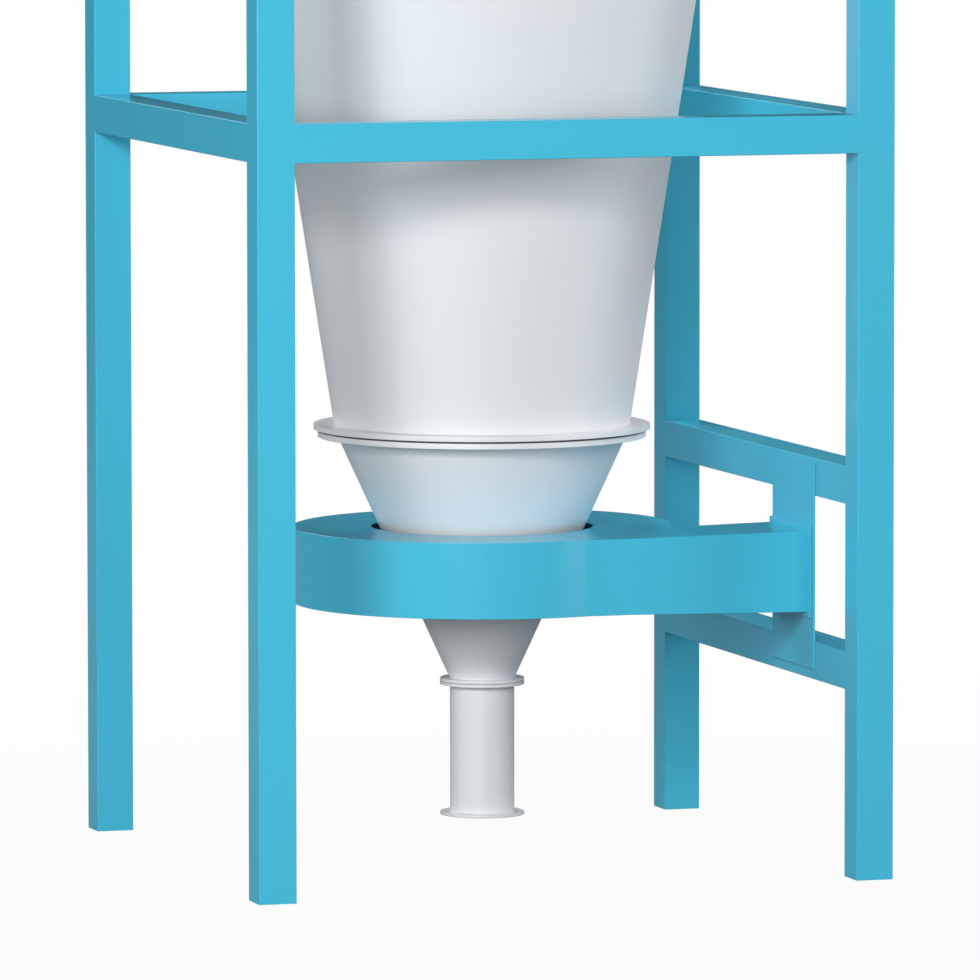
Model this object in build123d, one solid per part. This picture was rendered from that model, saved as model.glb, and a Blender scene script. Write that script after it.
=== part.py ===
"""Cyclone separator standing in a square-tube frame, with a duct collar round its lower cone.

Millimetres. X runs to the right along the front, Y runs towards the back, and Z is up.
The origin is on the floor, in the middle of the frame and on the axis of the cyclone.
"""
from build123d import *
from math import cos, radians, sqrt, tan
import os

# Frame of square tube
TUBE = 100.0                  # section of every post, beam and rail
TUBE_ROUNDING = 3.0           # rounding of the long edges of the tube
FRAME_WIDTH = 1715.0          # outside, along X
FRAME_DEPTH = 1700.0          # outside, along Y
MID_RING_TOP = 1994.0
UPPER_RAIL_TOP = 1076.0
LOWER_RAIL_TOP = 591.0

# Vessel sheet and fits
SHEET = 6.0                   # wall of the barrel, the cones and the ducts
WELD_GAP = 0.3                # between the barrel or outlet and what is welded round it

# Discharge pipe
DISCHARGE_LEVEL = 105.0       # floor to the mouth of the pipe
PIPE_LENGTH = 356.0
PIPE_RADIUS = 85.5
PIPE_WALL = 5.0
PIPE_FLANGE_RADIUS = 112.0
PIPE_END_FLANGE = 8.0         # thickness at the mouth
PIPE_TOP_FLANGE = 8.6
PIPE_GASKET = 0.8
PIPE_GASKET_RADIUS = 111.0

# Lower cone
LOWER_CONE_HEIGHT = 666.2
LOWER_CONE_TOP_RADIUS = 389.2
LOWER_CONE_FOOT_RADIUS = 82.7
LOWER_CONE_FLANGE = 15.0
LOWER_CONE_FLANGE_RADIUS = 435.0

# Main joint between the cones
MAIN_GASKET = 5.5
MAIN_GASKET_RADIUS = 428.0

# Upper cone
UPPER_CONE_HEIGHT = 1672.0
UPPER_CONE_FOOT_RADIUS = 390.2
UPPER_CONE_FLANGE = 14.0
UPPER_CONE_FLANGE_RADIUS = 446.0

# Barrel, with the joint to the cone below and the roof above
BARREL_RADIUS = 650.0
BARREL_HEIGHT = 1300.0
BARREL_FLANGE = 12.0
BARREL_FLANGE_WIDTH = 55.0    # how far the joint's rings stand out
BARREL_GASKET = 6.0
BARREL_GASKET_INSET = 9.0     # how far the gasket stays behind the rings
ROOF = 8.0
ROOF_OVERHANG = 15.0

# Gas outlet in the roof
OUTLET_RADIUS = 260.0
OUTLET_WALL = 5.0
OUTLET_RISE = 300.0           # above the roof
OUTLET_DROP = 660.0           # below the roof, past the inlet
OUTLET_FLANGE = 12.0
OUTLET_FLANGE_RADIUS = 315.0

# Tangential inlet of the barrel
INLET_WIDTH = 240.0
INLET_HEIGHT = 520.0
INLET_BELOW_ROOF = 45.0
INLET_FLANGE = 12.0
INLET_FLANGE_MARGIN = 40.0

# Lugs that carry the barrel on the top ring
LUG_ABOVE_BARREL_FOOT = 290.0
LUG_WIDTH = 180.0
LUG_SOLE = 16.0
LUG_GUSSET = 12.0
LUG_HEIGHT = 220.0
LUG_EDGE = 10.0               # from the lug's tip to the outer face of the ring
LUG_TIP_HEIGHT = 40.0         # height of a gusset at its tip

# Collar round the lower cone, and its duct
COLLAR_MIDDLE = 774.5         # level of its mid plane
COLLAR_HEIGHT = 200.0
COLLAR_RADIUS = 503.5
CONE_CLEARANCE = 22.0         # open gap round the cone
DUCT_SET_BACK = 20.5          # of its front wall, behind the foremost point of the collar
DUCT_WIDTH = 283.0            # at its end
DUCT_SPLAY = 4.5              # degrees that its back wall turns out towards the end
DUCT_END_HEIGHT = 214.0
DUCT_FLARE_START = 260.0      # from the axis, along X
DUCT_FLANGE = 8.5
DUCT_FLANGE_MARGIN = 14.0     # above and below the duct
DUCT_FLANGE_SIDE = 21.5       # to its front and its back
PLATE = 5.0                   # mounting plate on the side rails, in line with the flange's back
PLATE_MARGIN = 10.5           # past the front of the duct's flange
PLATE_BELOW_RAIL_TOP = 10.0
PLATE_ABOVE_RAIL_FOOT = 28.0

# Levels, from the floor up
PIPE_TOP = DISCHARGE_LEVEL + PIPE_LENGTH
LOWER_CONE_FOOT = PIPE_TOP + PIPE_GASKET
LOWER_CONE_TOP = LOWER_CONE_FOOT + LOWER_CONE_HEIGHT
UPPER_CONE_FOOT = LOWER_CONE_TOP + MAIN_GASKET
UPPER_CONE_TOP = UPPER_CONE_FOOT + UPPER_CONE_HEIGHT
BARREL_FOOT = UPPER_CONE_TOP + BARREL_GASKET
BARREL_TOP = BARREL_FOOT + BARREL_HEIGHT
ROOF_TOP = BARREL_TOP + ROOF
FRAME_HEIGHT = BARREL_FOOT + LUG_ABOVE_BARREL_FOOT
INLET_TOP = BARREL_TOP - INLET_BELOW_ROOF
INLET_FOOT = INLET_TOP - INLET_HEIGHT

# Places across the frame
HALF_WIDTH = FRAME_WIDTH / 2
HALF_DEPTH = FRAME_DEPTH / 2
CLEAR_X = HALF_WIDTH - TUBE   # inner faces of the posts, beams and rails
CLEAR_Y = HALF_DEPTH - TUBE
PLATE_FACE = CLEAR_X - PLATE
DUCT_END = PLATE_FACE - DUCT_FLANGE
DUCT_FRONT = DUCT_SET_BACK - COLLAR_RADIUS
DUCT_BACK = DUCT_FRONT + DUCT_WIDTH
INLET_FRONT = -BARREL_RADIUS
INLET_BACK = INLET_FRONT + INLET_WIDTH
BARREL_FLANGE_RADIUS = BARREL_RADIUS + BARREL_FLANGE_WIDTH

# Each cone's outer surface: foot and top levels, then foot and top radii
LOWER_CONE = (LOWER_CONE_FOOT, LOWER_CONE_TOP, LOWER_CONE_FOOT_RADIUS, LOWER_CONE_TOP_RADIUS)
UPPER_CONE = (UPPER_CONE_FOOT, UPPER_CONE_TOP, UPPER_CONE_FOOT_RADIUS, BARREL_RADIUS)


def block(x, y, z):
    """A box between three pairs of coordinates."""
    size = (x[1] - x[0], y[1] - y[0], z[1] - z[0])
    middle = (sum(x) / 2, sum(y) / 2, sum(z) / 2)
    return Pos(*middle) * Box(*size)


def bar(x, y, z, along):
    """A closed square tube with rounded long edges."""
    body = block(x, y, z)
    return fillet(body.edges().filter_by(along), TUBE_ROUNDING)


def turned(*outline):
    """A solid of revolution round the cyclone's axis, from points of radius and level."""
    face = make_face(Polyline(*[(r, 0, z) for r, z in outline], close=True))
    return revolve(face, Axis.Z)


def ring(inside, outside, low, high):
    return turned((inside, low), (outside, low), (outside, high), (inside, high))


def flanged_tube(inside, outside, low, high, low_flange=None, high_flange=None):
    """A round wall with a welded flange, given as thickness and radius, at one end or both."""
    outline = [(inside, low)]
    if low_flange:
        thickness, radius = low_flange
        outline += [(radius, low), (radius, low + thickness), (outside, low + thickness)]
    else:
        outline += [(outside, low)]
    if high_flange:
        thickness, radius = high_flange
        outline += [(outside, high - thickness), (radius, high - thickness), (radius, high)]
    else:
        outline += [(outside, high)]
    return turned(*outline, (inside, high))


def cone_radius(cone, level):
    """Outer radius of a cone at a level."""
    foot, top, foot_radius, top_radius = cone
    return foot_radius + (top_radius - foot_radius) * (level - foot) / (top - foot)


def flanged_cone(cone, foot_flange, top_flange):
    """A conical wall of one sheet's thickness, measured square to it, and a flange at each end."""
    foot, top, foot_radius, top_radius = cone
    wall = SHEET * sqrt(1 + ((top_radius - foot_radius) / (top - foot)) ** 2)
    foot_side, top_side = foot + foot_flange[0], top - top_flange[0]
    return turned((foot_radius - wall, foot), (foot_flange[1], foot), (foot_flange[1], foot_side),
                  (cone_radius(cone, foot_side), foot_side), (cone_radius(cone, top_side), top_side),
                  (top_flange[1], top_side), (top_flange[1], top), (top_radius - wall, top))


def frame_posts():
    posts = {}
    for side, x in (("left", (-HALF_WIDTH, -CLEAR_X)), ("right", (CLEAR_X, HALF_WIDTH))):
        for end, y in (("front", (-HALF_DEPTH, -CLEAR_Y)), ("back", (CLEAR_Y, HALF_DEPTH))):
            posts[f"post_{end}_{side}"] = bar(x, y, (0, FRAME_HEIGHT), Axis.Z)
    return posts


def frame_ring(name, top):
    """Four beams between the posts, flush with their outer faces."""
    z = (top - TUBE, top)
    across, along = (-CLEAR_X, CLEAR_X), (-CLEAR_Y, CLEAR_Y)
    return {
        f"{name}_beam_front": bar(across, (-HALF_DEPTH, -CLEAR_Y), z, Axis.X),
        f"{name}_beam_back": bar(across, (CLEAR_Y, HALF_DEPTH), z, Axis.X),
        f"{name}_beam_left": bar((-HALF_WIDTH, -CLEAR_X), along, z, Axis.Y),
        f"{name}_beam_right": bar((CLEAR_X, HALF_WIDTH), along, z, Axis.Y),
    }


def side_rails():
    x, y = (CLEAR_X, HALF_WIDTH), (-CLEAR_Y, CLEAR_Y)
    return {
        "side_rail_upper": bar(x, y, (UPPER_RAIL_TOP - TUBE, UPPER_RAIL_TOP), Axis.Y),
        "side_rail_lower": bar(x, y, (LOWER_RAIL_TOP - TUBE, LOWER_RAIL_TOP), Axis.Y),
    }


def discharge():
    """The cones and the pipe under them, each one weldment with its flanges."""
    return {
        "discharge_pipe": flanged_tube(PIPE_RADIUS - PIPE_WALL, PIPE_RADIUS, DISCHARGE_LEVEL, PIPE_TOP,
                                       (PIPE_END_FLANGE, PIPE_FLANGE_RADIUS),
                                       (PIPE_TOP_FLANGE, PIPE_FLANGE_RADIUS)),
        "lower_cone": flanged_cone(LOWER_CONE, (PIPE_TOP_FLANGE, PIPE_FLANGE_RADIUS),
                                   (LOWER_CONE_FLANGE, LOWER_CONE_FLANGE_RADIUS)),
        "upper_cone": flanged_cone(UPPER_CONE, (UPPER_CONE_FLANGE, UPPER_CONE_FLANGE_RADIUS),
                                   (BARREL_FLANGE, BARREL_FLANGE_RADIUS)),
    }


def gaskets():
    """One gasket in each flanged joint, from the floor up."""
    return [
        ring(PIPE_RADIUS - PIPE_WALL, PIPE_GASKET_RADIUS, PIPE_TOP, LOWER_CONE_FOOT),
        ring(LOWER_CONE_TOP_RADIUS - SHEET, MAIN_GASKET_RADIUS, LOWER_CONE_TOP, UPPER_CONE_FOOT),
        ring(BARREL_RADIUS - SHEET, BARREL_FLANGE_RADIUS - BARREL_GASKET_INSET,
             UPPER_CONE_TOP, BARREL_FOOT),
    ]


def inlet_passage(reach):
    """The clear inside of the inlet, from the tangent line of the barrel to a reach along X."""
    return block((0, reach), (INLET_FRONT + SHEET, INLET_BACK - SHEET),
                 (INLET_FOOT + SHEET, INLET_TOP - SHEET))


def barrel():
    shell = flanged_tube(BARREL_RADIUS - SHEET, BARREL_RADIUS, BARREL_FOOT, BARREL_TOP,
                         low_flange=(BARREL_FLANGE, BARREL_FLANGE_RADIUS))
    return {
        "barrel_shell": shell - inlet_passage(BARREL_RADIUS),
        "barrel_roof": ring(OUTLET_RADIUS + WELD_GAP, BARREL_RADIUS + ROOF_OVERHANG,
                            BARREL_TOP, ROOF_TOP),
        "gas_outlet_pipe": flanged_tube(OUTLET_RADIUS - OUTLET_WALL, OUTLET_RADIUS,
                                        ROOF_TOP - OUTLET_DROP, ROOF_TOP + OUTLET_RISE,
                                        high_flange=(OUTLET_FLANGE, OUTLET_FLANGE_RADIUS)),
    }


def barrel_inlet():
    """A rectangular duct, tangent to the barrel at the front, that ends at the frame's side."""
    duct_end = HALF_WIDTH - INLET_FLANGE
    duct = block((0, duct_end), (INLET_FRONT, INLET_BACK), (INLET_FOOT, INLET_TOP))
    duct -= inlet_passage(HALF_WIDTH)
    duct -= Cylinder(BARREL_RADIUS + WELD_GAP, 2 * BARREL_TOP)
    flange = block((duct_end, HALF_WIDTH),
                   (INLET_FRONT - INLET_FLANGE_MARGIN, INLET_BACK + INLET_FLANGE_MARGIN),
                   (INLET_FOOT - INLET_FLANGE_MARGIN, INLET_TOP + INLET_FLANGE_MARGIN))
    return {"inlet_duct": duct, "inlet_flange": flange - inlet_passage(HALF_WIDTH)}


def support_lug(tip):
    """A lug on the +X side of the barrel: a sole on the ring and two gussets above it."""
    foot, top = FRAME_HEIGHT, FRAME_HEIGHT + LUG_HEIGHT
    sole = block((0, tip), (-LUG_WIDTH / 2, LUG_WIDTH / 2), (foot, foot + LUG_SOLE))
    side = Polyline((0, 0, foot), (tip, 0, foot), (tip, 0, foot + LUG_TIP_HEIGHT),
                    (BARREL_RADIUS, 0, top), (0, 0, top), close=True)
    lug = sole
    for y in (-LUG_WIDTH / 2 + LUG_GUSSET, LUG_WIDTH / 2):
        lug += Pos(0, y, 0) * extrude(make_face(side), LUG_GUSSET, dir=(0, -1, 0))
    return lug - Cylinder(BARREL_RADIUS + WELD_GAP, 4 * top)


def support_lugs():
    across, along = HALF_WIDTH - LUG_EDGE, HALF_DEPTH - LUG_EDGE
    turns = {"right": (0, across), "back": (90, along), "left": (180, across), "front": (270, along)}
    return {f"support_lug_{name}": Rot(0, 0, angle) * support_lug(tip)
            for name, (angle, tip) in turns.items()}


def duct_outline(inset):
    """Plan of the duct from the middle of the collar to its end, drawn in by an inset."""
    front, back = DUCT_FRONT + inset, DUCT_BACK - inset / cos(radians(DUCT_SPLAY))
    start = back - DUCT_END * tan(radians(DUCT_SPLAY))
    return make_face(Polyline((0, front), (DUCT_END, front), (DUCT_END, back), (0, start), close=True))


def collar_outline(inset):
    """Plan of the collar and its duct, drawn in by an inset."""
    return Circle(COLLAR_RADIUS - inset) + duct_outline(inset)


def collar_band(low, high):
    """A slab across the collar between two offsets from its top and bottom faces.

    An offset is counted from the mid plane in half heights' direction: +1 is the top side and
    -1 the bottom side, each with a depth under the outer face.
    """
    def edge(side, depth):
        straight, end = COLLAR_HEIGHT / 2 - depth, DUCT_END_HEIGHT / 2 - depth
        return [(-COLLAR_RADIUS, COLLAR_MIDDLE + side * straight),
                (DUCT_FLARE_START, COLLAR_MIDDLE + side * straight),
                (DUCT_END, COLLAR_MIDDLE + side * end)]
    points = edge(*low) + edge(*high)[::-1]
    face = make_face(Polyline(*[(x, COLLAR_RADIUS, z) for x, z in points], close=True))
    return extrude(face, 2 * COLLAR_RADIUS, dir=(0, -1, 0))


def collar_prism(plan):
    """A plan of the collar as a tall prism."""
    return extrude(Pos(0, 0, COLLAR_MIDDLE - COLLAR_HEIGHT) * plan, 2 * COLLAR_HEIGHT)


def cone_hole(level):
    """A round hole through a plate of the collar, clear of the cone."""
    radius = cone_radius(LOWER_CONE, level) + CONE_CLEARANCE
    return Pos(0, 0, level) * Cylinder(radius, COLLAR_HEIGHT / 2)


def collar():
    """The round collar and its duct, as walls and plates."""
    outside = collar_prism(collar_outline(0))
    walls = (outside - collar_prism(collar_outline(SHEET))) & collar_band((-1, SHEET), (1, SHEET))
    high = (COLLAR_MIDDLE - COLLAR_HEIGHT, COLLAR_MIDDLE + COLLAR_HEIGHT)
    crease = sqrt(COLLAR_RADIUS ** 2 - DUCT_FRONT ** 2)   # where the front wall leaves the round
    front_side = block((crease, DUCT_END), (DUCT_FRONT, DUCT_FRONT + 2 * SHEET), high)
    back_side = (collar_prism(duct_outline(0))
                 & block((0, DUCT_END), (DUCT_FRONT + 2 * SHEET, DUCT_BACK), high))
    return {
        "collar_round_wall": walls - front_side - back_side,
        "duct_front_wall": walls & front_side,
        "duct_back_wall": walls & back_side,
        "collar_top_plate": (outside & collar_band((1, SHEET), (1, 0)))
        - cone_hole(COLLAR_MIDDLE + COLLAR_HEIGHT / 2),
        "collar_bottom_plate": (outside & collar_band((-1, 0), (-1, SHEET)))
        - cone_hole(COLLAR_MIDDLE - COLLAR_HEIGHT / 2),
    }


def duct_end():
    """The duct's flange and the plate that holds it on the side rails, both open to the duct."""
    half, width = DUCT_END_HEIGHT / 2, (DUCT_FRONT, DUCT_BACK)
    passage = block((DUCT_END, CLEAR_X), (width[0] + SHEET, width[1] - SHEET),
                    (COLLAR_MIDDLE - half + SHEET, COLLAR_MIDDLE + half - SHEET))
    front, back = width[0] - DUCT_FLANGE_SIDE, width[1] + DUCT_FLANGE_SIDE
    margin = half + DUCT_FLANGE_MARGIN
    flange = block((DUCT_END, PLATE_FACE), (front, back),
                   (COLLAR_MIDDLE - margin, COLLAR_MIDDLE + margin))
    plate = block((PLATE_FACE, CLEAR_X), (front - PLATE_MARGIN, back),
                  (LOWER_RAIL_TOP - TUBE + PLATE_ABOVE_RAIL_FOOT, UPPER_RAIL_TOP - PLATE_BELOW_RAIL_TOP))
    return {"duct_end_flange": flange - passage, "duct_mounting_plate": plate - passage}


def main():
    parts = {
        **frame_posts(),
        **frame_ring("mid", MID_RING_TOP),
        **frame_ring("top", FRAME_HEIGHT),
        **side_rails(),
        **discharge(),
        "gaskets": Compound(gaskets()),
        **barrel(),
        **barrel_inlet(),
        **support_lugs(),
        **collar(),
        **duct_end(),
    }
    os.makedirs("parts", exist_ok=True)
    for name, solid in parts.items():
        export_step(solid, f"parts/{name}.step")


if __name__ == "__main__":
    main()
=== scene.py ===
"""Dressed model of a cyclone separator in its square-tube frame, with its studio.

Metres. X runs to the right along the front, Y towards the back, Z up, and the floor is at zero.
"""

from math import asin, atan2, cos, pi, radians, sin, sqrt, tan, tau

import bmesh
import bpy
from bpy.props import FloatProperty, FloatVectorProperty, IntProperty, PointerProperty
from mathutils import Matrix, Vector


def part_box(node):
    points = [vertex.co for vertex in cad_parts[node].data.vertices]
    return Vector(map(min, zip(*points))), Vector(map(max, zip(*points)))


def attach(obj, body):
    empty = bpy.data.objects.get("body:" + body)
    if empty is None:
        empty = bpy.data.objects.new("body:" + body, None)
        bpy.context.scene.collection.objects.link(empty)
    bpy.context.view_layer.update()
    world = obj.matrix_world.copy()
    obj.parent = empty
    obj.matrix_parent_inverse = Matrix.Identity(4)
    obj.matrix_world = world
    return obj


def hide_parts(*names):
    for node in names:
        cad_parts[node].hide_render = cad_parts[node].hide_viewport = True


bl_info = {
    "name": "Cyclone Separator",
    "version": (1, 0, 0),
    "blender": (4, 5, 0),
    "location": "3D View > Sidebar > Cyclone",
    "description": "Builds the painted frame, cones, collar and ports of a cyclone separator",
    "category": "Add Mesh",
}

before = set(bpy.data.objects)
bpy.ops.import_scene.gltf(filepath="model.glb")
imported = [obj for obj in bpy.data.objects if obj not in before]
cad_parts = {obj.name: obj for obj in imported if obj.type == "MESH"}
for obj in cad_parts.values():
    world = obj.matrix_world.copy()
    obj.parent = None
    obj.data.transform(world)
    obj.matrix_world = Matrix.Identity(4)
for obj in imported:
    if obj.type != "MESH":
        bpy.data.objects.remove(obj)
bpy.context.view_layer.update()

# Sheet, cones and flanges
SHEET = 0.006
PIPE_BORE = 0.0805
PIPE_RADIUS = 0.0855
PIPE_END_FLANGE = 0.008
PIPE_TOP_FLANGE = 0.0086
LOWER_CONE_FLANGE = 0.015
UPPER_CONE_FLANGE = 0.014
UPPER_CONE_FLANGE_RADIUS = 0.446
LOWER_CONE_RADII = (0.0827, 0.3892)     # outside, at the foot and at the top
UPPER_CONE_RADII = (0.3902, 0.650)
BARREL_FLANGE = 0.012
OUTLET_RADIUS = 0.260
OUTLET_WALL = 0.005
OUTLET_FLANGE = 0.012
GASKET_RADII = ((0.0805, 0.111), (0.3832, 0.428), (0.644, 0.696))

# Collar and duct
COLLAR_HEIGHT = 0.200
CONE_CLEARANCE = 0.022
DUCT_SPLAY = radians(4.5)       # of the back wall, in plan
DUCT_FLARE_START = 0.260

# Edges
SHARP = radians(35)             # a bend past this angle is an edge
FLAT = radians(1)               # and one under this angle is none
SAME_POINT = 1e-6
LOOSE_POINT = 1e-5              # in the triangles of a solid's mesh
ROUND_PIECE_GAP = 0.0003        # what the solids leave between round pieces that are welded
EDGE_STEPS = 2
TUBE_EDGE_STEPS = 4
COLLAR_EDGE_STEPS = 3
GASKET_SOFTENING = 1 / 8        # of a gasket's thickness
WELDMENT_SOFTENING = 1 / 2      # of the sheet's rounding, for the inlet and the lugs
SHORTEST_INLET_EDGE = 0.1       # shorter edges of the inlet stay sharp
SHORTEST_LUG_EDGE = 0.03

# Finishes
CLOUD_SCALE = 2.2
CLOUD_DETAIL = 3
GLOSS_SPREAD = 0.03             # how far the roughness strays either way
PEEL_SCALE = 260
PEEL_DETAIL = 1
PEEL_HEIGHT = 0.0002
LACQUER_IOR = 1.4
TURQUOISE_TONE = 0.012          # how far the clouds lighten and darken the colour
TURQUOISE_PEEL = 0.05
WHITE_TONE = 0.008
WHITE_PEEL = 0.12
GASKET_TONE = 0.10
GASKET_PEEL = 0.6
GASKET_ROUGHNESS = 0.75

# Studio
FLOOR_RADIUS = 60
FLOOR_STEPS = 96
FLOOR_DROP = 0.0005             # under the feet of the posts
FLOOR_SHADE = 0.18
SHADOW_AND_PAINTED_SHADE_DEPTH = 0.04             # how much of the floor's own shade, with its real shadow, the camera sees near the machine; this also paints the floor there slightly greyer than white, a painted shade
SHADOW_AND_PAINTED_SHADE_REACH = (1.5, 5)         # where the shadow and the painted shade round the machine start to fade, and where they end
MIRRORED_WHITE = 0.05           # how much of the white surroundings a glossy surface shows
ROOM_TINT = (0.9, 0.95, 1.0, 1)
SENSOR_WIDTH = 36               # millimetres
VIEW_DEPTH = 500
LAMP_DISTANCE = 14
LAMP_TARGET = 1.5               # level that the lamps face

# Name, turn to the right of the camera, elevation, width and height in degrees as seen from the
# machine, and brightness, where white is 1
LAMPS = (
    ("key light", -20, 19, 18, 7, 21),
    ("broad front light", -11, 11.5, 24, 21, 11.7),
    ("left light", -67.5, 5.5, 53, 20, 2.25),
    ("low right light", 60, 0, 20, 9, 9),
    ("right side light", 110, 26, 60, 42, 3.5),
    ("rear light", -148, 34, 22, 25, 12.2),
)


class PaintSettings(bpy.types.PropertyGroup):
    """Finishes of the machine."""

    frame_colour: FloatVectorProperty(
        name="Turquoise", description="Paint of the frame, the collar and the duct",
        default=(0.065, 0.51, 0.715), min=0, max=1, subtype="COLOR")
    vessel_colour: FloatVectorProperty(
        name="White", description="Paint of the cones, the barrel and the ports",
        default=(0.78, 0.79, 0.81), min=0, max=1, subtype="COLOR")
    gasket_colour: FloatVectorProperty(
        name="Gasket", description="Rubber between the flanges",
        default=(0.10, 0.10, 0.105), min=0, max=1, subtype="COLOR")
    frame_roughness: FloatProperty(
        name="Turquoise roughness", description="How much the turquoise paint blurs what it mirrors",
        default=0.42, min=0, max=1, subtype="FACTOR")
    vessel_roughness: FloatProperty(
        name="White roughness", description="How much the white paint blurs what it mirrors",
        default=0.35, min=0, max=1, subtype="FACTOR")
    lacquer_roughness: FloatProperty(
        name="Lacquer roughness", description="Blur of the clear lacquer over the turquoise paint",
        default=0.22, min=0, max=1, subtype="FACTOR")


class ShapeSettings(bpy.types.PropertyGroup):
    """Fineness of the shapes."""

    tube_rounding: FloatProperty(
        name="Tube rounding", description="Radius of the long edges of the square tube",
        default=0.003, min=0.001, max=0.02, unit="LENGTH")
    sheet_rounding: FloatProperty(
        name="Sheet rounding", description="How far the edges of rings, plates and ducts are softened",
        default=0.0015, min=0.0002, max=0.004, unit="LENGTH")
    steps: IntProperty(
        name="Steps round", description="Flats in a full turn of a round piece",
        default=192, min=48, max=360)


class StageSettings(bpy.types.PropertyGroup):
    """Camera and light."""

    yaw: FloatProperty(name="Camera yaw", description="Turn of the view to the right of the depth axis",
                       default=radians(17.1645), subtype="ANGLE")
    pitch: FloatProperty(name="Camera pitch", description="How far the view looks down",
                         default=radians(5.1363), subtype="ANGLE")
    roll: FloatProperty(name="Camera roll", description="Turn about the line of sight",
                        default=radians(-0.0435), subtype="ANGLE")
    distance: FloatProperty(name="Camera distance", description="From the axis, level with the floor",
                            default=26.4823, unit="LENGTH")
    aside: FloatProperty(name="Camera offset", description="Sideways from the line to the axis",
                         default=0.02145, unit="LENGTH")
    height: FloatProperty(name="Camera height", description="Above the floor",
                          default=3.349, unit="LENGTH")
    lens: FloatProperty(name="Lens", description="Focal length on a sensor 36 mm wide, in millimetres",
                        default=368.4)
    lamps: FloatProperty(name="Lamps", description="Brightness of all lamps together",
                         default=1.0, min=0)
    surround: FloatProperty(name="Surround", description="Brightness of the room round the machine",
                            default=0.0, min=0)


# Meshes

def placed_cube(bm, low, high):
    """Adds a box between two corners."""
    size = Vector(high) - Vector(low)
    middle = (Vector(high) + Vector(low)) / 2
    matrix = Matrix.Translation(middle) @ Matrix.Diagonal((*size, 1))
    bmesh.ops.create_cube(bm, size=1, matrix=matrix)


def sharp_edges(bm):
    return [e for e in bm.edges if len(e.link_faces) == 2 and e.calc_face_angle() > SHARP]


def rounded(bm, edges, width, segments=EDGE_STEPS):
    """Rounds edges, starting at a width from each."""
    bmesh.ops.bevel(bm, geom=edges, offset=width, segments=segments, profile=0.5,
                    affect="EDGES", material=-1)


def spun(outline, rounding, steps):
    """A closed outline of radius and level, turned once round the axis, with softened rims."""
    bm = bmesh.new()
    corners = [bm.verts.new((r, 0, z)) for r, z in outline]
    sides = [bm.edges.new((a, b)) for a, b in zip(corners, corners[1:] + corners[:1])]
    bmesh.ops.spin(bm, geom=corners + sides, cent=(0, 0, 0), axis=(0, 0, 1), dvec=(0, 0, 0),
                   angle=tau, steps=steps, use_merge=True, use_duplicate=False)
    bmesh.ops.remove_doubles(bm, verts=bm.verts, dist=SAME_POINT)
    bmesh.ops.recalc_face_normals(bm, faces=bm.faces)
    rims = [e for e in sharp_edges(bm) if e.calc_face_angle_signed() > 0]
    rounded(bm, rims, rounding)
    return bm


def new_piece(name, bm, paint, nodes):
    """Ends a mesh as a piece of the machine that stands for CAD nodes."""
    mesh = bpy.data.meshes.new(name)
    bm.to_mesh(mesh)
    bm.free()
    mesh.polygons.foreach_set("use_smooth", [True] * len(mesh.polygons))
    mesh.set_sharp_from_angle(angle=SHARP)
    mesh.materials.append(paint)
    piece = bpy.data.objects.new(name, mesh)
    bpy.context.scene.collection.objects.link(piece)
    flat = piece.modifiers.new("Flat faces", "WEIGHTED_NORMAL")
    flat.keep_sharp = True
    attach(piece, "root")
    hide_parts(*nodes)
    return piece


def merged_copy(node):
    """A CAD node's mesh with its loose triangles joined and its flat faces made whole."""
    bm = bmesh.new()
    bm.from_mesh(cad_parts[node].data)
    bmesh.ops.remove_doubles(bm, verts=bm.verts, dist=LOOSE_POINT)
    bmesh.ops.dissolve_limit(bm, angle_limit=FLAT, verts=bm.verts, edges=bm.edges)
    return bm


# Paints

def paint_material(name, colour, roughness, tone, peel, lacquer=None):
    """A sprayed paint: faint clouds of tone, a slightly uneven gloss and a fine orange peel.

    Under a lacquer, given by its roughness, the colour coat is matt and the lacquer mirrors.
    """
    material = bpy.data.materials.new(name)
    material.use_nodes = True
    tree = material.node_tree
    shader = tree.nodes["Principled BSDF"]
    if lacquer is not None:
        shader.inputs["Specular IOR Level"].default_value = 0
        shader.inputs["Coat Weight"].default_value = 1
        shader.inputs["Coat Roughness"].default_value = lacquer
        shader.inputs["Coat IOR"].default_value = LACQUER_IOR
    place = tree.nodes.new("ShaderNodeTexCoord")

    clouds = tree.nodes.new("ShaderNodeTexNoise")
    clouds.inputs["Scale"].default_value = CLOUD_SCALE
    clouds.inputs["Detail"].default_value = CLOUD_DETAIL
    tree.links.new(place.outputs["Object"], clouds.inputs["Vector"])

    shades = tree.nodes.new("ShaderNodeMix")
    shades.data_type = "RGBA"
    shades.inputs["A"].default_value = (*[c * (1 - tone) for c in colour], 1)
    shades.inputs["B"].default_value = (*[min(1, c * (1 + tone)) for c in colour], 1)
    tree.links.new(clouds.outputs["Fac"], shades.inputs["Factor"])
    tree.links.new(shades.outputs["Result"], shader.inputs["Base Color"])

    gloss = tree.nodes.new("ShaderNodeMapRange")
    gloss.inputs["To Min"].default_value = roughness - GLOSS_SPREAD
    gloss.inputs["To Max"].default_value = roughness + GLOSS_SPREAD
    tree.links.new(clouds.outputs["Fac"], gloss.inputs["Value"])
    tree.links.new(gloss.outputs["Result"], shader.inputs["Roughness"])

    skin = tree.nodes.new("ShaderNodeTexNoise")
    skin.inputs["Scale"].default_value = PEEL_SCALE
    skin.inputs["Detail"].default_value = PEEL_DETAIL
    tree.links.new(place.outputs["Object"], skin.inputs["Vector"])
    bump = tree.nodes.new("ShaderNodeBump")
    bump.inputs["Strength"].default_value = peel
    bump.inputs["Distance"].default_value = PEEL_HEIGHT
    tree.links.new(skin.outputs["Fac"], bump.inputs["Height"])
    tree.links.new(bump.outputs["Normal"], shader.inputs["Normal"])
    return material


def made_once(name, make):
    """The material of that name, made at its first use."""
    return bpy.data.materials.get(name) or make(name)


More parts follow.
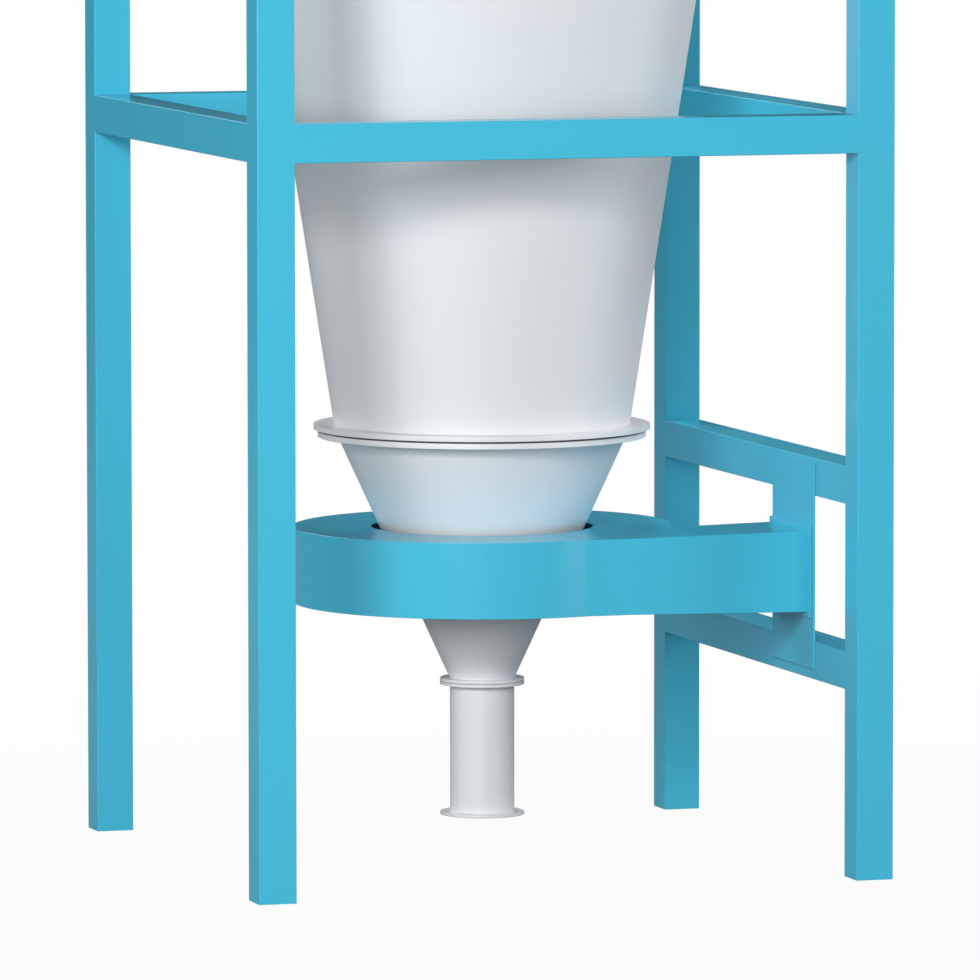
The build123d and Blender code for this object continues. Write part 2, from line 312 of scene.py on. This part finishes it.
def turquoise_paint(context):
    paint = context.scene.cyclone_paint
    return made_once("turquoise gloss paint", lambda name: paint_material(
        name, paint.frame_colour, paint.frame_roughness, TURQUOISE_TONE, TURQUOISE_PEEL,
        paint.lacquer_roughness))


def white_paint(context):
    paint = context.scene.cyclone_paint
    return made_once("white satin paint", lambda name: paint_material(
        name, paint.vessel_colour, paint.vessel_roughness, WHITE_TONE, WHITE_PEEL))


def gasket_rubber(context):
    paint = context.scene.cyclone_paint
    return made_once("gasket rubber", lambda name: paint_material(
        name, paint.gasket_colour, GASKET_ROUGHNESS, GASKET_TONE, GASKET_PEEL))


# Pieces

class CYCLONE_OT_frame(bpy.types.Operator):
    """Posts, beams and side rails of square tube, welded flush"""

    bl_idname = "cyclone.frame"
    bl_label = "Frame"

    def execute(self, context):
        shape = context.scene.cyclone_shape
        nodes = [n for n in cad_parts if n.startswith(("post_", "mid_beam", "top_beam", "side_rail"))]
        for node in sorted(nodes):
            low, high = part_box(node)
            along = max(range(3), key=lambda axis: high[axis] - low[axis])
            if not node.startswith("post_"):
                # the ends reach over the rounding of the posts, so that the faces run on flush
                low[along] -= shape.tube_rounding
                high[along] += shape.tube_rounding
            bm = bmesh.new()
            placed_cube(bm, low, high)
            long_edges = [e for e in bm.edges
                          if abs((e.verts[0].co - e.verts[1].co)[along]) > shape.tube_rounding]
            rounded(bm, long_edges, shape.tube_rounding, TUBE_EDGE_STEPS)
            new_piece(f"tube_{node}", bm, turquoise_paint(context), [node])
        return {"FINISHED"}


def cone_radius(radii, foot, top, level):
    """Outer radius of a cone at a level."""
    return radii[0] + (radii[1] - radii[0]) * (level - foot) / (top - foot)


def flanged_cone(node, radii, foot_flange, top_flange, shape):
    """A cone's wall with a flange, given as thickness and radius, at each end."""
    low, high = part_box(node)
    foot, top = low.z, high.z
    wall = SHEET * sqrt(1 + ((radii[1] - radii[0]) / (top - foot)) ** 2)
    foot_side, top_side = foot + foot_flange[0], top - top_flange[0]
    outline = [(radii[0] - wall, foot), (foot_flange[1], foot), (foot_flange[1], foot_side),
               (cone_radius(radii, foot, top, foot_side), foot_side),
               (cone_radius(radii, foot, top, top_side), top_side),
               (top_flange[1], top_side), (top_flange[1], top), (radii[1] - wall, top)]
    return spun(outline, shape.sheet_rounding, shape.steps)


class CYCLONE_OT_cones(bpy.types.Operator):
    """Upper and lower cone, each with its two flanges"""

    bl_idname = "cyclone.cones"
    bl_label = "Cones"

    def execute(self, context):
        shape = context.scene.cyclone_shape
        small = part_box("discharge_pipe")[1].x
        bm = flanged_cone("lower_cone", LOWER_CONE_RADII, (PIPE_TOP_FLANGE, small),
                          (LOWER_CONE_FLANGE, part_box("lower_cone")[1].x), shape)
        new_piece("lower_cone_and_flanges", bm, white_paint(context), ["lower_cone"])
        bm = flanged_cone("upper_cone", UPPER_CONE_RADII, (UPPER_CONE_FLANGE, UPPER_CONE_FLANGE_RADIUS),
                          (BARREL_FLANGE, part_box("upper_cone")[1].x), shape)
        new_piece("upper_cone_and_flanges", bm, white_paint(context), ["upper_cone"])
        return {"FINISHED"}


class CYCLONE_OT_discharge_pipe(bpy.types.Operator):
    """Discharge pipe under the lower cone, with its two flanges"""

    bl_idname = "cyclone.discharge_pipe"
    bl_label = "Discharge pipe"

    def execute(self, context):
        shape = context.scene.cyclone_shape
        low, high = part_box("discharge_pipe")
        flange = high.x
        mouth, top = low.z, high.z
        outline = [(PIPE_BORE, mouth), (flange, mouth), (flange, mouth + PIPE_END_FLANGE),
                   (PIPE_RADIUS, mouth + PIPE_END_FLANGE), (PIPE_RADIUS, top - PIPE_TOP_FLANGE),
                   (flange, top - PIPE_TOP_FLANGE), (flange, top), (PIPE_BORE, top)]
        bm = spun(outline, shape.sheet_rounding, shape.steps)
        new_piece("discharge_pipe_and_flanges", bm, white_paint(context),
                  ["discharge_pipe"])
        return {"FINISHED"}


class CYCLONE_OT_gaskets(bpy.types.Operator):
    """Rubber gaskets in the three flanged joints"""

    bl_idname = "cyclone.gaskets"
    bl_label = "Gaskets"

    def execute(self, context):
        shape = context.scene.cyclone_shape
        joints = (("discharge_pipe", "lower_cone"), ("lower_cone", "upper_cone"),
                  ("upper_cone", "barrel_shell"))
        whole = bmesh.new()
        for (below, above), (inside, outside) in zip(joints, GASKET_RADII):
            foot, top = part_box(below)[1].z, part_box(above)[0].z
            bm = spun([(inside, foot), (outside, foot), (outside, top), (inside, top)],
                      (top - foot) * GASKET_SOFTENING, shape.steps)
            ring = bpy.data.meshes.new("gasket")
            bm.to_mesh(ring)
            bm.free()
            whole.from_mesh(ring)
            bpy.data.meshes.remove(ring)
        new_piece("flange_gaskets", whole, gasket_rubber(context), ["gaskets"])
        return {"FINISHED"}


class CYCLONE_OT_barrel(bpy.types.Operator):
    """Barrel with its foot flange, the roof, and the gas outlet through it"""

    bl_idname = "cyclone.barrel"
    bl_label = "Barrel, roof and outlet"

    def execute(self, context):
        shape = context.scene.cyclone_shape
        low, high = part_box("barrel_shell")
        radius = UPPER_CONE_RADII[1]
        flange = high.x
        outline = [(radius - SHEET, low.z), (flange, low.z), (flange, low.z + BARREL_FLANGE),
                   (radius, low.z + BARREL_FLANGE), (radius, high.z), (radius - SHEET, high.z)]
        shell = new_piece("barrel_wall", spun(outline, shape.sheet_rounding, shape.steps),
                          white_paint(context), ["barrel_shell"])
        self.cut_inlet(shell)

        low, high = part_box("barrel_roof")
        hole = OUTLET_RADIUS + ROUND_PIECE_GAP
        roof = [(hole, low.z), (high.x, low.z), (high.x, high.z), (hole, high.z)]
        new_piece("roof_plate", spun(roof, shape.sheet_rounding, shape.steps),
                  white_paint(context), ["barrel_roof"])

        low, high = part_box("gas_outlet_pipe")
        pipe = [(OUTLET_RADIUS - OUTLET_WALL, low.z), (OUTLET_RADIUS, low.z),
                (OUTLET_RADIUS, high.z - OUTLET_FLANGE), (high.x, high.z - OUTLET_FLANGE),
                (high.x, high.z), (OUTLET_RADIUS - OUTLET_WALL, high.z)]
        new_piece("gas_outlet", spun(pipe, shape.sheet_rounding, shape.steps),
                  white_paint(context), ["gas_outlet_pipe"])
        return {"FINISHED"}

    def cut_inlet(self, shell):
        """Opens the barrel's wall where the inlet duct enters."""
        low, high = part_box("inlet_duct")
        bm = bmesh.new()
        placed_cube(bm, (0, low.y + SHEET, low.z + SHEET), (high.x, high.y - SHEET, high.z - SHEET))
        mesh = bpy.data.meshes.new("inlet_opening")
        bm.to_mesh(mesh)
        bm.free()
        cutter = bpy.data.objects.new("inlet_opening", mesh)
        bpy.context.scene.collection.objects.link(cutter)
        cut = shell.modifiers.new("Inlet opening", "BOOLEAN")
        cut.object = cutter
        cut.operation = "DIFFERENCE"
        cut.solver = "EXACT"
        shell.modifiers.move(1, 0)
        graph = bpy.context.evaluated_depsgraph_get()
        open_mesh = bpy.data.meshes.new_from_object(shell.evaluated_get(graph))
        shell.modifiers.clear()
        closed_mesh = shell.data
        shell.data = open_mesh
        bpy.data.objects.remove(cutter)
        bpy.data.meshes.remove(mesh)
        bpy.data.meshes.remove(closed_mesh)


class CYCLONE_OT_inlet(bpy.types.Operator):
    """Tangential inlet duct of the barrel and its flange"""

    bl_idname = "cyclone.inlet"
    bl_label = "Inlet"

    def execute(self, context):
        shape = context.scene.cyclone_shape
        for node, name in (("inlet_duct", "inlet_box"), ("inlet_flange", "inlet_frame")):
            bm = merged_copy(node)
            straight = [e for e in sharp_edges(bm) if e.calc_length() > SHORTEST_INLET_EDGE]
            rounded(bm, straight, shape.sheet_rounding * WELDMENT_SOFTENING)
            new_piece(name, bm, white_paint(context), [node])
        return {"FINISHED"}


class CYCLONE_OT_lugs(bpy.types.Operator):
    """Four lugs that carry the barrel on the top ring"""

    bl_idname = "cyclone.lugs"
    bl_label = "Support lugs"

    def execute(self, context):
        shape = context.scene.cyclone_shape
        for node in sorted(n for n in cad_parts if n.startswith("support_lug")):
            bm = merged_copy(node)
            straight = [e for e in sharp_edges(bm) if e.calc_length() > SHORTEST_LUG_EDGE]
            rounded(bm, straight, shape.sheet_rounding * WELDMENT_SOFTENING)
            new_piece(node.replace("support_", "") + "_welded", bm, white_paint(context),
                      [node])
        return {"FINISHED"}


def arc(bm, start, centre, angle, steps):
    """Edges of an arc in plan from a vertex. Returns its last vertex."""
    made = bmesh.ops.spin(bm, geom=[start], cent=centre, axis=(0, 0, 1), dvec=(0, 0, 0),
                          angle=angle, steps=steps, use_merge=False, use_duplicate=False)
    return [v for v in made["geom_last"] if isinstance(v, bmesh.types.BMVert)][0]


def line(bm, start, point):
    """An edge in plan from a vertex to a point. Returns its last vertex."""
    made = bmesh.ops.extrude_vert_indiv(bm, verts=[start])["verts"][0]
    made.co = Vector(point)
    return made


class CYCLONE_OT_collar(bpy.types.Operator):
    """Collar round the lower cone and its flared duct, folded from sheet"""

    bl_idname = "cyclone.collar"
    bl_label = "Collar and duct"

    def execute(self, context):
        shape = context.scene.cyclone_shape
        bm = self.skin(shape)
        rounded(bm, sharp_edges(bm), shape.sheet_rounding, COLLAR_EDGE_STEPS)
        collar = new_piece("collar_and_duct", bm, turquoise_paint(context),
                           ["collar_round_wall", "duct_front_wall", "duct_back_wall",
                            "collar_top_plate", "collar_bottom_plate"])
        sheet = collar.modifiers.new("Sheet", "SOLIDIFY")
        sheet.thickness = SHEET
        sheet.offset = -1
        collar.modifiers.move(1, 0)
        return {"FINISHED"}

    def skin(self, shape):
        """Outer faces of the collar, open at the cone's holes and at the end of the duct."""
        radius = -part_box("collar_round_wall")[0].x
        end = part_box("duct_end_flange")[0].x
        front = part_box("duct_front_wall")[0].y
        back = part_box("duct_back_wall")[1].y
        middle = (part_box("duct_end_flange")[0].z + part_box("duct_end_flange")[1].z) / 2
        end_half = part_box("collar_top_plate")[1].z - middle
        half = COLLAR_HEIGHT / 2
        foot, top = middle - half, middle + half

        # the front wall leaves the round at a crease, and the splayed back wall at a hollow corner
        crease = atan2(front, sqrt(radius ** 2 - front ** 2))
        aside = (back * cos(DUCT_SPLAY) - end * sin(DUCT_SPLAY)) / radius
        corner = asin(aside) + DUCT_SPLAY
        bm = bmesh.new()
        first = bm.verts.new((radius * cos(crease), radius * sin(crease), foot))
        round_turn = corner - crease - tau
        last = arc(bm, first, (0, 0, foot), round_turn, round(shape.steps * -round_turn / tau))
        last = line(bm, last, (end, back, foot))
        last = line(bm, last, (end, front, foot))
        mouth = last.link_edges[0]
        last = line(bm, last, (DUCT_FLARE_START, front, foot))
        bm.edges.new((last, first))

        outline = list(bm.edges)
        walls = [e for e in outline if e != mouth]
        raised = bmesh.ops.extrude_edge_only(bm, edges=walls)["geom"]
        raised_verts = [g for g in raised if isinstance(g, bmesh.types.BMVert)]
        bmesh.ops.translate(bm, verts=raised_verts, vec=(0, 0, 2 * half))
        upper = [g for g in raised if isinstance(g, bmesh.types.BMEdge)
                 and all(v in raised_verts for v in g.verts)]
        ends = [v for v in raised_verts if abs(v.co.x - end) < SAME_POINT]
        upper.append(bm.edges.new(ends))

        cone_low, cone_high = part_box("lower_cone")
        for edges, level in ((outline, foot), (upper, top)):
            hole = cone_radius(LOWER_CONE_RADII, cone_low.z, cone_high.z, level) + CONE_CLEARANCE
            ring = bmesh.ops.create_circle(bm, cap_ends=False, segments=shape.steps, radius=hole,
                                           matrix=Matrix.Translation((0, 0, level)))["verts"]
            rim = {e for v in ring for e in v.link_edges}
            bmesh.ops.triangle_fill(bm, edges=list(edges) + list(rim), use_beauty=True,
                                    use_dissolve=False, normal=(0, 0, 1))
        geometry = list(bm.verts) + list(bm.edges) + list(bm.faces)
        bmesh.ops.bisect_plane(bm, geom=geometry, plane_co=(DUCT_FLARE_START, 0, 0),
                               plane_no=(1, 0, 0), dist=SAME_POINT)
        flare = (end_half / half - 1) / (end - DUCT_FLARE_START)
        for v in bm.verts:
            past = max(0, v.co.x - DUCT_FLARE_START)
            v.co.z = middle + (v.co.z - middle) * (1 + flare * past)
        bmesh.ops.remove_doubles(bm, verts=bm.verts, dist=SAME_POINT)
        bmesh.ops.recalc_face_normals(bm, faces=bm.faces)
        return bm


class CYCLONE_OT_duct_end(bpy.types.Operator):
    """Flange at the end of the duct and the mounting plate on the side rails"""

    bl_idname = "cyclone.duct_end"
    bl_label = "Duct flange and plate"

    def execute(self, context):
        shape = context.scene.cyclone_shape
        for node, name in (("duct_end_flange", "duct_flange_ring"),
                           ("duct_mounting_plate", "duct_rail_plate")):
            bm = merged_copy(node)
            rounded(bm, sharp_edges(bm), shape.sheet_rounding)
            new_piece(name, bm, turquoise_paint(context), [node])
        return {"FINISHED"}


# Stage

def toward(azimuth, elevation):
    """Unit vector from the machine. Azimuth zero is the front and turns to the right."""
    return Vector((sin(azimuth) * cos(elevation), -cos(azimuth) * cos(elevation), sin(elevation)))


def soft_light(name, azimuth, elevation, wide, high, brightness):
    """A rectangular lamp that faces the machine's middle, of a brightness where white is 1.

    Its width and height are the angles that it fills, as seen from the machine.
    """
    lamp = bpy.data.lights.new(name, "AREA")
    lamp.shape = "RECTANGLE"
    lamp.size = 2 * LAMP_DISTANCE * tan(wide / 2) * cos(elevation)
    lamp.size_y = 2 * LAMP_DISTANCE * tan(high / 2)
    lamp.energy = brightness * pi * lamp.size * lamp.size_y
    holder = bpy.data.objects.new(name, lamp)
    away = toward(azimuth, elevation)
    holder.location = Vector((0, 0, LAMP_TARGET)) + away * LAMP_DISTANCE
    holder.rotation_euler = away.to_track_quat("Z", "Y").to_euler()
    holder.visible_camera = False
    bpy.context.scene.collection.objects.link(holder)


def combined(tree, operation, first, second):
    """Output of a maths node that takes two outputs, or an output and a plain number."""
    maths = tree.nodes.new("ShaderNodeMath")
    maths.operation = operation
    tree.links.new(first, maths.inputs[0])
    if isinstance(second, bpy.types.NodeSocket):
        tree.links.new(second, maths.inputs[1])
    else:
        maths.inputs[1].default_value = second
    return maths.outputs[0]


def white_share(tree):
    """Share of a ray that sees plain white.

    It is all of a ray from the camera or through clear matter, and a part of a mirrored one.
    """
    path = tree.nodes.new("ShaderNodeLightPath")
    mirrored = combined(tree, "MULTIPLY", path.outputs["Is Glossy Ray"], MIRRORED_WHITE)
    through = combined(tree, "MAXIMUM", mirrored, path.outputs["Is Transmission Ray"])
    return combined(tree, "MAXIMUM", through, path.outputs["Is Camera Ray"])


def pale_floor():
    """Matt to the machine. The camera sees it white, with a faint real shadow near the machine, on a
    painted shade that greys the floor slightly there and fades out with distance.
    """
    material = bpy.data.materials.new("pale floor")
    material.use_nodes = True
    tree = material.node_tree
    tree.nodes.clear()
    output = tree.nodes.new("ShaderNodeOutputMaterial")
    shown = tree.nodes.new("ShaderNodeMixShader")
    matt = tree.nodes.new("ShaderNodeBsdfDiffuse")
    matt.inputs["Color"].default_value = (FLOOR_SHADE, FLOOR_SHADE, FLOOR_SHADE, 1)
    white = tree.nodes.new("ShaderNodeEmission")
    white.inputs["Strength"].default_value = 1
    place = tree.nodes.new("ShaderNodeTexCoord")
    away = tree.nodes.new("ShaderNodeVectorMath")
    away.operation = "LENGTH"
    tree.links.new(place.outputs["Object"], away.inputs[0])
    # the white share grows with distance from the machine, so near it the camera sees the real shadow
    # and a painted shade
    fade = tree.nodes.new("ShaderNodeMapRange")
    fade.interpolation_type = "SMOOTHSTEP"
    fade.inputs["From Min"].default_value = SHADOW_AND_PAINTED_SHADE_REACH[0]
    fade.inputs["From Max"].default_value = SHADOW_AND_PAINTED_SHADE_REACH[1]
    fade.inputs["To Min"].default_value = 1 - SHADOW_AND_PAINTED_SHADE_DEPTH
    tree.links.new(away.outputs["Value"], fade.inputs["Value"])
    share = combined(tree, "MULTIPLY", white_share(tree), fade.outputs["Result"])
    tree.links.new(share, shown.inputs[0])
    tree.links.new(matt.outputs[0], shown.inputs[1])
    tree.links.new(white.outputs[0], shown.inputs[2])
    tree.links.new(shown.outputs[0], output.inputs[0])
    return material


class CYCLONE_OT_stage(bpy.types.Operator):
    """Floor, room light, lamps and the camera"""

    bl_idname = "cyclone.stage"
    bl_label = "Studio"

    def execute(self, context):
        settings = context.scene.cyclone_stage
        self.floor()
        self.room(context.scene, settings)
        self.lamps(settings)
        self.camera(context.scene, settings)
        context.scene.view_settings.view_transform = "Standard"
        return {"FINISHED"}

    def floor(self):
        """A round floor that reaches past the edges of the view."""
        bm = bmesh.new()
        bmesh.ops.create_circle(bm, cap_ends=True, segments=FLOOR_STEPS, radius=FLOOR_RADIUS,
                                matrix=Matrix.Translation((0, 0, -FLOOR_DROP)))
        mesh = bpy.data.meshes.new("floor")
        bm.to_mesh(mesh)
        bm.free()
        floor = bpy.data.objects.new("floor", mesh)
        bpy.context.scene.collection.objects.link(floor)
        mesh.materials.append(pale_floor())

    def room(self, scene, settings):
        """Plain white to the camera, and the surround's brightness to the machine."""
        world = bpy.data.worlds.new("room")
        scene.world = world
        world.use_nodes = True
        tree = world.node_tree
        tree.nodes.clear()
        output = tree.nodes.new("ShaderNodeOutputWorld")
        shown = tree.nodes.new("ShaderNodeMixShader")
        room = tree.nodes.new("ShaderNodeBackground")
        room.inputs["Color"].default_value = ROOM_TINT
        room.inputs["Strength"].default_value = settings.surround
        white = tree.nodes.new("ShaderNodeBackground")
        white.inputs["Color"].default_value = (1, 1, 1, 1)
        white.inputs["Strength"].default_value = 1
        tree.links.new(white_share(tree), shown.inputs[0])
        tree.links.new(room.outputs[0], shown.inputs[1])
        tree.links.new(white.outputs[0], shown.inputs[2])
        tree.links.new(shown.outputs[0], output.inputs[0])

    def lamps(self, settings):
        for name, turn, height, wide, high, brightness in LAMPS:
            soft_light(name, radians(turn) - settings.yaw, radians(height), radians(wide),
                       radians(high), brightness * settings.lamps)

    def camera(self, scene, settings):
        """Stands where the photograph was taken from, and looks the same way."""
        level = Vector((sin(settings.yaw), cos(settings.yaw), 0))
        right = Vector((cos(settings.yaw), -sin(settings.yaw), 0))
        up = Vector((0, 0, 1))
        forward = level * cos(settings.pitch) - up * sin(settings.pitch)
        upright = up * cos(settings.pitch) + level * sin(settings.pitch)
        rolled_right = right * cos(settings.roll) + upright * sin(settings.roll)
        rolled_up = upright * cos(settings.roll) - right * sin(settings.roll)
        turn = Matrix((rolled_right, rolled_up, -forward)).transposed()
        place = up * settings.height + right * settings.aside - level * settings.distance
        data = bpy.data.cameras.new("camera")
        data.sensor_width = SENSOR_WIDTH
        data.lens = settings.lens
        data.clip_end = VIEW_DEPTH
        camera = bpy.data.objects.new("camera", data)
        camera.matrix_world = Matrix.Translation(place) @ turn.to_4x4()
        scene.collection.objects.link(camera)
        scene.camera = camera


PIECES = (
    CYCLONE_OT_frame,
    CYCLONE_OT_cones,
    CYCLONE_OT_discharge_pipe,
    CYCLONE_OT_gaskets,
    CYCLONE_OT_barrel,
    CYCLONE_OT_inlet,
    CYCLONE_OT_lugs,
    CYCLONE_OT_collar,
    CYCLONE_OT_duct_end,
    CYCLONE_OT_stage,
)


class CYCLONE_PT_panel(bpy.types.Panel):
    """Buttons for each group of pieces, and the settings they read"""

    bl_label = "Cyclone Separator"
    bl_idname = "CYCLONE_PT_panel"
    bl_space_type = "VIEW_3D"
    bl_region_type = "UI"
    bl_category = "Cyclone"

    def draw(self, context):
        for settings in (context.scene.cyclone_paint, context.scene.cyclone_shape,
                         context.scene.cyclone_stage):
            box = self.layout.box()
            for name in settings.__annotations__:
                box.prop(settings, name)
        for piece in PIECES:
            self.layout.operator(piece.bl_idname)


SETTINGS = (
    ("cyclone_paint", PaintSettings),
    ("cyclone_shape", ShapeSettings),
    ("cyclone_stage", StageSettings),
)


def register():
    for name, group in SETTINGS:
        bpy.utils.register_class(group)
        setattr(bpy.types.Scene, name, PointerProperty(type=group))
    for piece in PIECES:
        bpy.utils.register_class(piece)
    bpy.utils.register_class(CYCLONE_PT_panel)


def unregister():
    bpy.utils.unregister_class(CYCLONE_PT_panel)
    for piece in reversed(PIECES):
        bpy.utils.unregister_class(piece)
    for name, group in reversed(SETTINGS):
        delattr(bpy.types.Scene, name)
        bpy.utils.unregister_class(group)


def main():
    register()
    bpy.ops.cyclone.frame()
    bpy.ops.cyclone.cones()
    bpy.ops.cyclone.discharge_pipe()
    bpy.ops.cyclone.gaskets()
    bpy.ops.cyclone.barrel()
    bpy.ops.cyclone.inlet()
    bpy.ops.cyclone.lugs()
    bpy.ops.cyclone.collar()
    bpy.ops.cyclone.duct_end()
    bpy.ops.cyclone.stage()


if __name__ == "__main__":
    main()
